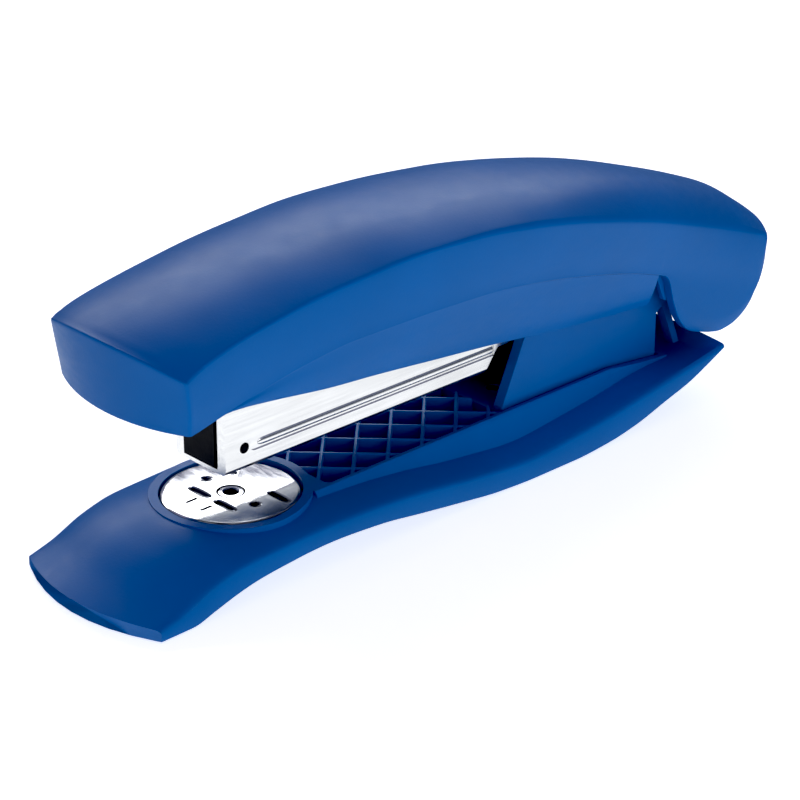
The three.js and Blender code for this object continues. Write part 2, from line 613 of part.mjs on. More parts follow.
// The front edge is bowed in plan, more so low on the chin.
function frontBow(u, y, z) {
  const fade = Math.max(0, 1 - (u - CHIN_X) / CHIN_FADE);
  const low = Math.min(1, Math.max(0, (CHIN_TOP_Z - z) / CHIN_DEPTH));
  return fade * (TOP_BOW + (CHIN_BOW - TOP_BOW) * low) * (y / CHIN_HALF_W) ** 2;
}

// The tail's middle stands further back than its sides.
function rearBow(u, y) {
  const t = Math.min(1, Math.max(0, (u - TAIL_BOW_U0) / (TAIL_END_U - TAIL_BOW_U0)));
  return t * t * (3 - 2 * t) * TAIL_BOW * (1 - Math.min(1, (y / TAIL_HALF_W) ** 2));
}

// Lowest z of the cap's section: open below along the handle, closed by the curved rear of the tail.
function footZ(u, inset) {
  if (u < TAIL_CLOSED_U + inset) return OPEN_FOOT_Z;
  return Math.max(lerp(TAIL_EDGE, u) + inset * 0.9, lerp(TAIL_EDGE, u + inset * 0.9) + inset * 0.4);
}

function capRing(u, inset) {
  const [zc, foot] = [lerp(CREASE, u), footZ(u, inset)];
  const [wc, ws] = [lerp(CREASE_W, u) - inset, lerp(BAND_W, u) - inset];
  const top = zc - inset * 0.4;
  const zs = Math.min(Math.max(bandZ(u), foot + 1), top - 0.6);
  const right = [
    [ws, foot],
    [ws, foot + (zs - foot) / 2],
    [ws, zs],
    [(ws + wc) / 2 + 0.15, (zs + top) / 2],
    [wc, top],
  ];
  const crown = range(1, -1, 11).slice(1, -1).map((t) => [
    wc * t,
    top + lerp(HEIGHT, u) * (1 - Math.abs(t) ** CREST_POWER) - inset * 0.6 * (1 - Math.abs(t)),
  ]);
  const left = [...right].reverse().map(([y, z]) => [-y, z]);
  const ring = [...right, ...crown, ...left, [0, foot]];
  return ring.map(([y, z]) => [u + frontBow(u, y, z) + rearBow(u, y), y, z]);
}

function capBody(inset) {
  const last = TAIL_END_U - inset;
  const closed = TAIL_CLOSED_U + inset;
  const us = [
    ...range(CHIN_X + inset, -20, 9), ...range(-9, 60, 7), 67, 74, 81, closed - 0.02, closed,
    92.4, 95.6, 98, 99.6, 100.8,
  ];
  return loft([...us.filter((u) => u < last - 0.2), last].map((u) => capRing(u, inset)));
}

function makeCap() {
  const edge = [...BAND, ...TAIL_EDGE.filter(([x]) => x < TAIL_CLOSED_U)];
  const below = [
    [-80, 0], [120, 0], [120, TAIL_CUT_Z], [TAIL_CLOSED_U + 0.3, TAIL_CUT_Z],
    ...edge.reverse(), [-80, BAND[0][1]],
  ];
  const room = capBody(0.6);
  const bosses = FRAME_SCREW_X.map((x) => rod("z", [x, 0], BOSS_Z, 70, BOSS_R, 20).intersect(room));
  const holes = FRAME_SCREW_X.map((x) => rod("z", [x, 0], 30, SCREW_TOP_Z + GAP, SCREW_R + RUN, 14));
  const [y0, y1] = TAIL_LIP_Y;
  const lips = [prism(TAIL_LIP, y0, y1), prism(TAIL_LIP, -y1, -y0)];
  const shell = unite([capBody(0).subtract(capBody(CAP_WALL)), ...bosses]).subtract(prism(below, -40, 40));
  return unite([shell, ...lips]).subtract(unite(holes));
}

// The lower shell's section: outer wall, a step inside the cap, the roof, and the inner wall.
function skirtRing(u) {
  const [ws, wl, top] = [lerp(BAND_W, u), lerp(SKIRT_LOW_W, u), lerp(SKIRT_TOP, u)];
  const zs = bandZ(u) - 0.35;
  const zl = Math.min(lerp(SKIRT_LOW, u), zs - 0.4);
  const right = [[wl, zl], [ws - 0.35, zs], [ws - 2.35, zs], [ws - 2.35, top]];
  const inner = [[ws - 3.65, top - SKIRT_T], [ws - 3.65, zs], [wl - SKIRT_T, zl]];
  const mirrored = (part) => part.map(([y, z]) => [-y, z]).reverse();
  return [...right, ...mirrored(right), ...mirrored(inner), ...inner].map(([y, z]) => [u, y, z]);
}

function makeSkirt() {
  const us = [SKIRT_X0, -56, -50, -45, -38, -30, -22, -13, -2, 10, 20, 30, 39, 48, 57, SKIRT_X1];
  const holes = FRAME_SCREW_X.map((x) => rod("z", [x, 0], 30, 60, SCREW_R + RUN, 14));
  return loft(us.map(skirtRing)).subtract(unite(holes));
}

function makeArm() {
  const lowered = (d) => [...ARM_TOP].reverse().map(([x, z]) => [x, z - d]);
  const web = prism([...lowered(ARM_T), ...ARM_TOP], -ARM_OUT_Y, ARM_OUT_Y);
  const sides = [[ARM_IN_Y, ARM_OUT_Y], [-ARM_OUT_Y, -ARM_IN_Y]].map(([y0, y1]) => unite([
    prism([...lowered(ARM_LIP), ...ARM_TOP], y0, y1),
    prism(EAR_SIDE, y0, y1),
    rod("y", [AXLE_X, AXLE_Z], y0, y1, EAR_R, 28),
  ]));
  return unite([web, ...sides]).subtract(unite([
    rod("y", [AXLE_X, AXLE_Z], -20, 20, AXLE_R + RUN, 28),
    ...FRAME_SCREW_X.map((x) => rod("z", [x, 0], 30, 60, SCREW_R + RUN, 14)),
  ]));
}

function makeFrameScrew(x) {
  const head = lerp(ARM_TOP, x) - ARM_T - GAP;
  return rod("z", [x, 0], head - SCREW_HEAD_T, head, FRAME_HEAD_R - 0.5, 18, FRAME_HEAD_R)
    .add(rod("z", [x, 0], head - 0.5, SCREW_TOP_Z, SCREW_R, 14));
}

function makeBlade() {
  const holes = BLADE_RIVET_Y.map((y) => rod("x", [y, BLADE_RIVET_Z], -60, 0, BLADE_RIVET_R + RUN, 14));
  const half = BLADE_T / 2;
  return box(CHUTE_X - half, CHUTE_X + half, -BLADE_HALF_W, BLADE_HALF_W, BLADE_TIP_Z, BLADE_TOP_Z)
    .subtract(unite(holes));
}

function makeHolder() {
  const holes = BLADE_RIVET_Y.map((y) => rod("x", [y, BLADE_RIVET_Z], -60, 0, BLADE_RIVET_R + RUN, 14));
  return box(...HOLDER).subtract(unite(holes));
}

function makeBladeRivet(y) {
  return rod("x", [y, BLADE_RIVET_Z], CHUTE_X - BLADE_T / 2 + 0.05, HOLDER[1] + 0.5, BLADE_RIVET_R, 14);
}

// ---- Looks ----
function look(colour, roughness, metalness) {
  return () => new THREE.MeshStandardMaterial({ color: colour, roughness, metalness });
}

const bluePlastic = look(0x0a4a9e, 0.55, 0);
const blackPlastic = look(0x15161a, 0.5, 0);
const nickel = look(0xd8d9d6, 0.25, 1);
const zincSteel = look(0x9b9d9f, 0.4, 1);
const springSteel = look(0x6d7073, 0.35, 1);
const rubber = look(0x1b1b1d, 0.9, 0);

// ---- Assembly ----
const root = new THREE.Group();
root.name = "hand_stapler";
const placed = new THREE.Group();
placed.position.x = -CENTRE_X;
root.add(placed);

function put(name, made, material) {
  const m = made.getMesh();
  const g = new THREE.BufferGeometry();
  g.setAttribute("position", new THREE.BufferAttribute(new Float32Array(m.vertProperties), 3));
  g.setIndex(new THREE.BufferAttribute(new Uint32Array(m.triVerts), 1));
  g.computeVertexNormals();
  const mesh = new THREE.Mesh(g, material());
  mesh.name = name;
  placed.add(mesh);
}

put("base_shell", makeBase(), bluePlastic);
for (const [name, x, y] of FEET) put(name, makeFoot(x, y), rubber);
put("anvil_disc", makeAnvil(), nickel);
put("anvil_rivet", makeAnvilRivet(), nickel);
put("anvil_washer", makeAnvilWasher(), springSteel);
put("hinge_bracket", makeBracket(), bluePlastic);
put("bracket_screw_front", makeBracketScrew(BRACKET_SCREW_X[0]), zincSteel);
put("bracket_screw_rear", makeBracketScrew(BRACKET_SCREW_X[1]), zincSteel);
put("hinge_axle", makeAxle(), zincSteel);
put("axle_clip_left", makeClip(1), springSteel);
put("axle_clip_right", makeClip(-1), springSteel);
put("magazine_stop_pin", makeStopPin(), zincSteel);
put("magazine_channel", makeMagazine(), nickel);
put("magazine_nose", makeNose(), blackPlastic);
put("staple_rail", makeRail(), nickel);
put("staple_strip", makeStrip(), zincSteel);
put("pusher", makePusher(), blackPlastic);
put("guide_rod", makeRod(), zincSteel);
put("feed_spring", makeFeedSpring(), springSteel);
put("magazine_saddle", makeSaddle(), blackPlastic);
put("return_spring", makeReturnSpring(), springSteel);
put("handle_cap", makeCap(), bluePlastic);
put("handle_skirt", makeSkirt(), bluePlastic);
put("driver_arm", makeArm(), zincSteel);
put("frame_screw_front", makeFrameScrew(FRAME_SCREW_X[0]), zincSteel);
put("frame_screw_rear", makeFrameScrew(FRAME_SCREW_X[1]), zincSteel);
put("driver_blade", makeBlade(), springSteel);
put("blade_holder", makeHolder(), zincSteel);
put("blade_rivet_left", makeBladeRivet(BLADE_RIVET_Y[1]), zincSteel);
put("blade_rivet_right", makeBladeRivet(BLADE_RIVET_Y[0]), zincSteel);
put("handle_spring", makeHandleSpring(), springSteel);

export default root;
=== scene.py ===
"""Looks for the hand stapler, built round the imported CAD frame.

Metres: -X is the front, +Y the left side, Z up.
"""
import math

import bmesh
import bpy
import numpy as np
from mathutils import Matrix, Vector


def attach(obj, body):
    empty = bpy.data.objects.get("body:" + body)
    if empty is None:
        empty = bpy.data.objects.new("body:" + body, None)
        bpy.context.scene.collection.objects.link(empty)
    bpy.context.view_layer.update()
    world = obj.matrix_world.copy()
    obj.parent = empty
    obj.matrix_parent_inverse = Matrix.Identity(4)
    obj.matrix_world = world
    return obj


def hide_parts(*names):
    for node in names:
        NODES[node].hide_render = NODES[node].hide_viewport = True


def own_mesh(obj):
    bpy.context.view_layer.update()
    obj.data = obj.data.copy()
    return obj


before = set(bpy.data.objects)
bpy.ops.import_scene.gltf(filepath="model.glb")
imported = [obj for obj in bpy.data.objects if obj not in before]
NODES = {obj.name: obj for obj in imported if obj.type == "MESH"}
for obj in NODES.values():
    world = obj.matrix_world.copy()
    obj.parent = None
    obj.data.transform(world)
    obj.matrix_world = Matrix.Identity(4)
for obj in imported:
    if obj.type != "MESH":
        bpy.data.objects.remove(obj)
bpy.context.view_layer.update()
MM = 0.001
SHIFT_X = -15.75  # design X to row X, in mm


# ---- Smooth tables, in design millimetres: nearly the CAD's own ----
# HEIGHT and CREASE come partly from a scratch program's fit to the photograph, as report.md says.
class Table:
    """A monotone cubic through a few points."""

    def __init__(self, points):
        self.x = np.array([p[0] for p in points], float)
        self.y = np.array([p[1] for p in points], float)
        h = np.diff(self.x)
        d = np.diff(self.y) / h
        m = np.zeros(len(self.x))
        for k in range(1, len(self.x) - 1):
            if d[k - 1] * d[k] > 0:
                w1 = 2 * h[k] + h[k - 1]
                w2 = h[k] + 2 * h[k - 1]
                m[k] = (w1 + w2) / (w1 / d[k - 1] + w2 / d[k])
        m[0], m[-1] = d[0], d[-1]
        self.m = m

    def __call__(self, x):
        x = min(max(x, self.x[0]), self.x[-1])
        k = int(min(max(np.searchsorted(self.x, x) - 1, 0), len(self.x) - 2))
        h = self.x[k + 1] - self.x[k]
        t = (x - self.x[k]) / h
        a = 2 * t**3 - 3 * t**2 + 1
        b = t**3 - 2 * t**2 + t
        c = -2 * t**3 + 3 * t**2
        e = t**3 - t**2
        return float(a * self.y[k] + b * h * self.m[k] + c * self.y[k + 1] + e * h * self.m[k + 1])


BASE_FRONT_X, BASE_REAR_X, BASE_HALF_W, BASE_BOW = -76.7, 84.0, 20.4, 5.3
RIM = Table([
    (-76.7, 2.6), (-70.7, 4.0), (-62, 7.0), (-53, 8.7), (-43.5, 9.1), (-30, 9.5), (-17, 9.1), (-6, 8.2),
    (10, 6.2), (25, 5.0), (40, 6.1), (53, 7.6), (66, 9.7), (76, 11.4), (84, 12.8),
])
CROWN = Table([
    (-76.7, 0.6), (-66, 2.0), (-54, 3.1), (-46, 3.2), (-20, 2.9), (0, 3.0), (20, 3.4), (40, 3.0),
    (60, 1.8), (68, 0.4), (75, -1.2), (81.6, -1.9), (84, 0.9),
])
BELLY = Table([
    (-76.7, 0.4), (-68, 0.5), (-62, 1.9), (-56, 3.4), (-50, 4.5), (-43, 5.2), (-30, 5.9), (-17, 5.2),
    (-6, 3.7), (5, 2.2), (16, 0.9), (27, 0.45), (38, 0.45), (48, 1.1), (56, 2.4), (66, 5.2), (73, 7.2),
    (79, 9.7), (84, 12.0),
])
CREASE = Table([
    (-66.5, 50.0), (-60, 52.2), (-50, 54.3), (-40, 55.8), (-30, 57.1), (-20, 57.9), (-6, 58.6), (10, 58.0),
    (26, 56.0), (38, 53.5), (50, 50.3), (64, 46.1), (78, 41.2), (92.4, 36.0), (99.2, 33.3), (101.7, 32.3),
])
CREASE_W = Table([
    (-66.5, 20.2), (-58, 19.8), (-48.5, 19.5), (-35.4, 19.45), (-20, 19.6), (0, 19.9), (26.5, 20.0),
    (46, 19.3), (61, 18.3), (74, 17.4), (88.4, 16.4), (101.7, 16.0),
])
HEIGHT = Table([
    (-66.5, 2.6), (-55, 3.0), (-40, 3.4), (-20, 3.8), (10, 4.5), (35, 6.3), (60, 7.7), (80, 7.8), (92, 5.8),
    (98, 3.0), (101.7, 1.3),
])
BAND = Table([
    (-66.5, 38.4), (-62, 38.7), (-57, 39.6), (-48, 41.4), (-34.4, 43.8), (-22, 45.1), (-5, 45.0),
    (13.4, 44.2), (29, 42.2), (45, 38.9), (60, 34.8), (67.2, 32.3),
])
BAND_W = Table([
    (-66.5, 19.2), (-48, 18.6), (-22, 19.0), (0, 19.0), (29, 18.1), (45, 17.5), (67, 16.4), (101.7, 15.9),
])
TAIL_EDGE = Table([
    (67.2, 32.3), (68.4, 31.8), (69.7, 30.5), (71.3, 25.5), (72.8, 21.8), (74.2, 19.5), (75.9, 17.6),
    (77.6, 16.4), (81.9, 14.85), (84.3, 14.1), (87.6, 13.5), (90.8, 13.8), (94.1, 15.0), (97.2, 17.4),
    (98.7, 19.6), (100.2, 21.9), (101.0, 24.2), (101.5, 26.6), (101.7, 29.1),
])
SKIRT_LOW = Table([
    (-62, 38.6), (-59, 39.0), (-53, 40.0), (-49.5, 39.7), (-40, 38.4), (-27, 36.3), (-13.4, 34.6),
    (2.4, 32.4), (20, 30.0), (29, 28.6), (42.4, 26.8), (58.7, 25.3), (68.3, 24.5),
])
SKIRT_LOW_W = Table([
    (-62, 18.3), (-49.5, 18.1), (-40, 17.7), (-27, 17.0), (-13.4, 16.1), (2.4, 15.1), (20, 14.0),
    (29, 13.5), (42.4, 13.2), (68.3, 13.1),
])
TAIL_END, TAIL_CLOSED, TAIL_BOW, CHIN_X = 101.7, 88.0, 6.5, -66.5
TOP_BOW, CHIN_BOW = 2.6, 4.6
CHIN_BOW_RUN, CHIN_BOW_TOP_Z, CHIN_BOW_FALL, CHIN_HALF_W = 30, 52, 14, 19.6
BASE_BOW_RUN = 40
TAIL_BOW_X, TAIL_HALF_W = 80, 16
BAND_END = 67.2  # behind this the cap's lower edge is the tail's
DECK_POWER, CROWN_POWER = 2.6, 2.3  # how square the base's and the cap's crowns are across
CREST = 0.974  # keeps the finer crown inside the CAD box
CAP_WALL = 2.0
OPEN_FOOT_Z = 6.0  # the open part of the cap is carried down to here, then cut along its edge
ANVIL_X, ANVIL_R, ANVIL_TOP_Z = -37.5, 13.7, 12.0
AXLE_X, AXLE_Z = 92.0, 26.0
RIVET_BORE_R, SCREW_BORE_R = 1.96, 1.56
BRACKET_SCREW_X, FRAME_SCREW_X = (34, 65), (-28, 22)
WELL_X0, WELL_X1, WELL_HALF_W = -22.5, 73.1, 11.4
COLLAR_R, COLLAR_TOP_Z = 16.0, 12.7
RIB_STEP = 4.667  # half a lattice cell's diagonal, along X
THINNEST_SLAB, RIM_DROP = 0.05, 0.12
# Centre of the magazine's side hole, at the bead's height; the black plug put there is painted shade.
SIDE_HOLE_X, SIDE_HOLE_Z = -39.9, 24.8
FEED_X0, FEED_X1, FEED_Z = 1.5, 23.9, 24.6
RETURN_X, RETURN_Z0, RETURN_Z1 = 48, 12.3, 21.6


# ---- Mesh helpers ----
def new_object(name, verts, faces, smooth_angle=35):
    """A mesh object from design-frame millimetres."""
    mesh = bpy.data.meshes.new(name)
    moved = [((x + SHIFT_X) * MM, y * MM, z * MM) for x, y, z in verts]
    mesh.from_pydata(moved, [], faces)
    bm = bmesh.new()
    bm.from_mesh(mesh)
    bmesh.ops.remove_doubles(bm, verts=bm.verts, dist=2e-6)
    bmesh.ops.recalc_face_normals(bm, faces=bm.faces)
    bm.to_mesh(mesh)
    bm.free()
    obj = bpy.data.objects.new(name, mesh)
    bpy.context.scene.collection.objects.link(obj)
    soften(obj, smooth_angle)
    return obj


def soften(obj, angle):
    """Smooth shading, with edges sharper than the angle kept crisp."""
    bm = bmesh.new()
    bm.from_mesh(obj.data)
    limit = math.radians(angle)
    for f in bm.faces:
        f.smooth = True
    for e in bm.edges:
        e.smooth = len(e.link_faces) == 2 and e.calc_face_angle(0.0) < limit
    bm.to_mesh(obj.data)
    bm.free()


def strip_faces(rows, n):
    """Quads between each two neighbouring rings of n points."""
    faces = []
    for i in range(rows - 1):
        for j in range(n):
            a, b = i * n + j, i * n + (j + 1) % n
            faces.append((a, b, b + n, a + n))
    return faces


def loft(name, rings, smooth_angle=35):
    """A closed skin over rings of points."""
    n = len(rings[0])
    verts = [p for ring in rings for p in ring]
    faces = strip_faces(len(rings), n)
    faces.append(tuple(range(n)))
    faces.append(tuple((len(rings) - 1) * n + j for j in range(n)))
    return new_object(name, verts, faces, smooth_angle)


def lathe(name, profile, centre, segments=64, axis="z"):
    """A solid turned about an axis through centre: profile is (radius, height) from axis to axis."""
    verts = []
    for r, h in profile:
        for k in range(segments):
            a = 2 * math.pi * k / segments
            u, v = r * math.cos(a), r * math.sin(a)
            offset = {"z": (u, v, h), "y": (u, h, v), "x": (h, u, v)}[axis]
            verts.append(tuple(c + o for c, o in zip(centre, offset)))
    faces = strip_faces(len(profile), segments)
    faces.append(tuple(range(segments)))
    faces.append(tuple((len(profile) - 1) * segments + k for k in range(segments)))
    return new_object(name, verts, faces)


def tube(name, points, radius, sides=12):
    """A round wire along a line of points."""
    pts = [Vector(p) for p in points]
    verts = []
    up = None
    for k, p in enumerate(pts):
        t = (pts[min(k + 1, len(pts) - 1)] - pts[max(k - 1, 0)]).normalized()
        if up is None:
            up = t.orthogonal().normalized()
        up = (up - t * up.dot(t)).normalized()
        side = t.cross(up)
        for s in range(sides):
            a = 2 * math.pi * s / sides
            verts.append(tuple(p + up * (radius * math.cos(a)) + side * (radius * math.sin(a))))
    faces = strip_faces(len(pts), sides)
    faces.append(tuple(range(sides)))
    faces.append(tuple((len(pts) - 1) * sides + s for s in range(sides)))
    return new_object(name, verts, faces, 60)


def block(name, x0, x1, y0, y1, z0, z1):
    v = [(x, y, z) for x in (x0, x1) for y in (y0, y1) for z in (z0, z1)]
    f = [(0, 1, 3, 2), (4, 6, 7, 5), (0, 4, 5, 1), (2, 3, 7, 6), (0, 2, 6, 4), (1, 5, 7, 3)]
    return new_object(name, v, f)


def extrude(name, outline, a, b, plane="xz"):
    """A closed outline carried along the third axis from a to b."""
    n = len(outline)
    def at(p, q, s):
        return {"xz": (p, s, q), "yz": (s, p, q), "xy": (p, q, s)}[plane]
    verts = [at(p, q, a) for p, q in outline] + [at(p, q, b) for p, q in outline]
    faces = [tuple(range(n)), tuple(range(n, 2 * n))]
    faces += [(k, (k + 1) % n, n + (k + 1) % n, n + k) for k in range(n)]
    return new_object(name, verts, faces)


def combine(target, others, operation):
    """Boolean of target with each tool in turn; the tools are removed."""
    for tool in others:
        mod = target.modifiers.new("cut", "BOOLEAN")
        mod.operation = operation
        mod.solver = "MANIFOLD"
        mod.object = tool
        bake(target)
        bpy.data.objects.remove(tool)
    return target


def bake(obj):
    """Applies every modifier on obj."""
    graph = bpy.context.evaluated_depsgraph_get()
    graph.update()
    mesh = bpy.data.meshes.new_from_object(obj.evaluated_get(graph))
    obj.modifiers.clear()
    obj.data = mesh


def bevel(obj, width):
    """Rounds the sharp edges over a width in mm."""
    mod = obj.modifiers.new("edge", "BEVEL")
    mod.width = width * MM
    mod.segments = 2
    mod.limit_method = "ANGLE"
    mod.angle_limit = math.radians(30)
    mod.harden_normals = True
    mod.use_clamp_overlap = True
    return obj


def span(a, b, n):
    return list(np.linspace(a, b, n))


# ---- Base ----
def base_x(u, y):
    fade = max(0.0, 1 - (u - BASE_FRONT_X) / BASE_BOW_RUN)
    return u + BASE_BOW * fade * (y / BASE_HALF_W) ** 2


def deck_z(u, y):
    return RIM(u) + CROWN(u) * (1 - abs(y / BASE_HALF_W) ** DECK_POWER)


def belly_z(u, y):
    return BELLY(u) + min(0.0, CROWN(u)) * (1 - (y / BASE_HALF_W) ** 2)


def wave(name, inset, drop, lift, fine=True, edge=0.0):
    """The slab between the deck and the belly; edge rounds its top rim."""
    front, rear = BASE_FRONT_X + inset, BASE_REAR_X - inset
    us = span(front, 68, 110 if fine else 30)
    us += [u for u in span(69.5, 81.6, 11) + [82.8, 84] if u < rear - 0.2] + [rear]
    half = BASE_HALF_W - inset
    inner = half - edge
    ys = span(-inner, inner, 41 if fine else 13)
    low_ys = [-half] + span(-half + 1, half - 1, 9) + [half]
    arc = [math.radians(a) for a in (0, 30, 60)]
    rings = []
    for u in us:
        def low_at(y):
            return belly_z(u, y) + lift

        def top_at(y):
            return max(deck_z(u, y) - drop, low_at(y) + THINNEST_SLAB)

        low = [(base_x(u, y), y, low_at(y)) for y in low_ys]
        top = [(base_x(u, y), y, top_at(y)) for y in reversed(ys)]
        right, left = [], []
        if edge:
            e = min(edge, (top_at(half) - low_at(half)) * 0.6)
            x, z = base_x(u, half), top_at(inner)
            right = [(x, half - e * (1 - math.cos(a)), z - e + e * math.sin(a) - RIM_DROP) for a in arc]
            left = [(p[0], -p[1], p[2]) for p in reversed(right)]
        rings.append(low + right + top + left)
    return loft(name, rings, 40)


def rib_block(c, side):
    """One lattice rib: a thin wall at 45 degrees, slightly rounded on top."""
    t, h0, h1, length, cut = 0.4, 8.5, 12.5, 20, 0.18
    section = [(-t, h0), (t, h0), (t, h1 - cut), (t - cut, h1), (-t + cut, h1), (-t, h1 - cut)]
    a = side * math.pi / 4
    verts = []
    for s in (-length, length):
        for q, z in section:
            verts.append((c + s * math.cos(a) - q * math.sin(a), s * math.sin(a) + q * math.cos(a), z))
    n = len(section)
    faces = [tuple(range(n)), tuple(range(n, 2 * n))]
    faces += [(k, (k + 1) % n, n + (k + 1) % n, n + k) for k in range(n)]
    return new_object("rib", verts, faces)


def disc_solid(name, r, z0, z1, segments=72, x=ANVIL_X, y=0.0):
    return lathe(name, [(r, z0), (r, z1)], (x, y, 0), segments)


FEET = {
    "foot_front_left": (-68, 12), "foot_front_right": (-68, -12),
    "foot_rear_left": (32, 13.5), "foot_rear_right": (32, -13.5),
}


def make_walls():
    """The walls of the well, sloping off to the rear, joined to the collar round the anvil."""
    half, flare, shoulder_z = 12.6, 14.8, 12.2
    section = [
        (-flare, 6.2), (flare, 6.2), (half + 0.1, shoulder_z), (half - 0.35, COLLAR_TOP_Z),
        (-half + 0.35, COLLAR_TOP_Z), (-half - 0.1, shoulder_z),
    ]
    wall = extrude("wall", section, -26.5, 74.3, "yz")
    fade = [extrude("fade", [(56, 12.75), (75, 10.6), (75, 20), (56, 20)], -30, 30)]
    for side in (-1, 1):
        plan = [(30, 15.0 * side), (75, 12.5 * side), (75, 18 * side), (30, 18 * side)]
        fade.append(extrude("fade", plan, -5, 30, "xy"))
    combine(wall, fade, "DIFFERENCE")
    collar = disc_solid("collar", COLLAR_R, 7.4, COLLAR_TOP_Z)
    slope = [(-70, 12.05), (-38, 12.05), (-28, COLLAR_TOP_Z), (-28, 20), (-70, 20)]
    combine(collar, [extrude("slope", slope, -30, 30)], "DIFFERENCE")
    combine(wall, [collar], "UNION")
    return combine(wall, [wave("above", 0, -8, 0, False)], "INTERSECT")


def make_hollow():
    """What is cut out of the underside, sparing the well's walls and the anvil's collar."""
    hollow = wave("hollow", 2, 2, -6, False)
    combine(hollow, [block("under", WELL_X0, WELL_X1, -10.4, 10.4, -5, 7.6)], "UNION")
    spared = [block("keep", -25.5, 76.3, -13, 13, 7.6, 30), disc_solid("keep2", 16.6, 8.9, 30)]
    return combine(hollow, spared, "DIFFERENCE")


def make_stiffeners():
    """The cross ribs and the feet's bosses under the deck."""
    ribs = []
    for x in (-50, -8, 14, 56):
        rib = block("stiffener", x - 0.6, x + 0.6, -19, 19, 0, 12)
        ribs.append(combine(rib, [wave("inside", 1, 1, 1.2, False)], "INTERSECT"))
    for x, y in FEET.values():
        boss = disc_solid("boss", 5.7, 0, 7, 32, x, y)
        ribs.append(combine(boss, [wave("inside", 1, 1, 0, False)], "INTERSECT"))
    return ribs


def make_lattice():
    """The crossed ribs on the well's floor."""
    area = block("area", -28.5, 25.4, -11.6, 11.6, 8.5, 12.5)
    combine(area, [disc_solid("ring", 15.8, 0, 30)], "DIFFERENCE")
    ribs = [rib_block(RIB_STEP * (2 * k + 1), side) for k in range(-9, 10) for side in (-1, 1)]
    lattice = combine(ribs[0], ribs[1:], "UNION")
    return combine(lattice, [area], "INTERSECT")


def make_base():
    body = wave("base_body", 0, 0, 0, edge=0.7)
    combine(body, [make_walls()], "UNION")
    combine(body, [make_hollow()], "DIFFERENCE")
    combine(body, make_stiffeners(), "UNION")
    well = block("well", WELL_X0, WELL_X1, -WELL_HALF_W, WELL_HALF_W, 9.0, 30)
    combine(well, [disc_solid("ring", COLLAR_R, 0, 40)], "DIFFERENCE")
    combine(body, [well, disc_solid("dish", 14.1, 10.3, 30)], "DIFFERENCE")
    combine(body, [make_lattice()], "UNION")
    cuts = [disc_solid("bore", RIVET_BORE_R, 0, 20, 24)]
    cuts += [disc_solid("bore", SCREW_BORE_R, 0, 20, 20, x) for x in BRACKET_SCREW_X]
    cuts += [disc_solid("seat", 4.8, -1, 1.5, 32, x, y) for x, y in FEET.values()]
    combine(body, cuts, "DIFFERENCE")
    soften(body, 32)
    return body


# ---- Handle ----
def front_bow(u, y, z):
    fade = max(0.0, 1 - (u - CHIN_X) / CHIN_BOW_RUN)
    low = min(1.0, max(0.0, (CHIN_BOW_TOP_Z - z) / CHIN_BOW_FALL))
    return fade * (TOP_BOW + (CHIN_BOW - TOP_BOW) * low) * (y / CHIN_HALF_W) ** 2


def rear_bow(u, y):
    t = min(1.0, max(0.0, (u - TAIL_BOW_X) / (TAIL_END - TAIL_BOW_X)))
    return t * t * (3 - 2 * t) * TAIL_BOW * (1 - min(1.0, (y / TAIL_HALF_W) ** 2))


def rounded(points, corner, r):
    """The polyline with the corner at that index softened over a distance r on each side."""
    p = [np.array(q, float) for q in points]
    a, c, b = p[corner - 1], p[corner], p[corner + 1]
    u = (a - c) / np.linalg.norm(a - c)
    v = (b - c) / np.linalg.norm(b - c)
    start, end = c + u * r, c + v * r
    arc = [(1 - t) ** 2 * start + 2 * t * (1 - t) * c + t * t * end for t in span(0, 1, 6)]
    return p[:corner] + arc + p[corner + 1:]


def lower_edge(u):
    return BAND(u) if u < BAND_END else TAIL_EDGE(u)


def cap_half(u, inset):
    """Right half of the cap's section at u: (y, z) from the bottom to the crown's middle."""
    zb, zc = lower_edge(u), CREASE(u)
    wc, ws = CREASE_W(u) - inset, BAND_W(u) - inset
    low_in, top_in = inset * 0.9, inset * 0.4
    low = OPEN_FOOT_Z
    if u >= TAIL_CLOSED + inset:
        low = max(zb + low_in, TAIL_EDGE(u + low_in) + top_in)
    lip = 0.28 if not inset else 0.0
    foot = max(low, zb)
    side = [(ws - lip, low), (ws - lip, foot + 0.001), (ws - lip * 0.3, foot + lip * 0.3), (ws, foot + lip)]
    z0 = max(BAND(u) if u < BAND_END else zc - 12, foot + lip + 0.3)
    z1 = zc - top_in
    z0 = min(z0, z1 - 0.6)
    side += [(ws, foot + lip + (z0 - foot - lip) * k / 4) for k in range(1, 5)]
    for k in range(1, 6):
        swell = 0.22 * math.sin(math.pi * k / 6)
        side.append((ws + (wc - ws) * k / 6 + swell, z0 + (z1 - z0) * k / 6))
    height = CREST * HEIGHT(u)
    crown = [
        (wc * t, z1 + height * (1 - abs(t) ** CROWN_POWER) - inset * 0.6 * (1 - t))
        for t in span(1, 0, 18)[1:]
    ]
    full = side + [(wc, z1)] + crown
    r = float(np.interp(u, [0, 45, 95, 101.7], [0.55, 1.5, 1.3, 0.5]))
    r = min(r, 0.45 * (z1 - side[-1][1]) + 0.1)
    return rounded(full, len(side), r)


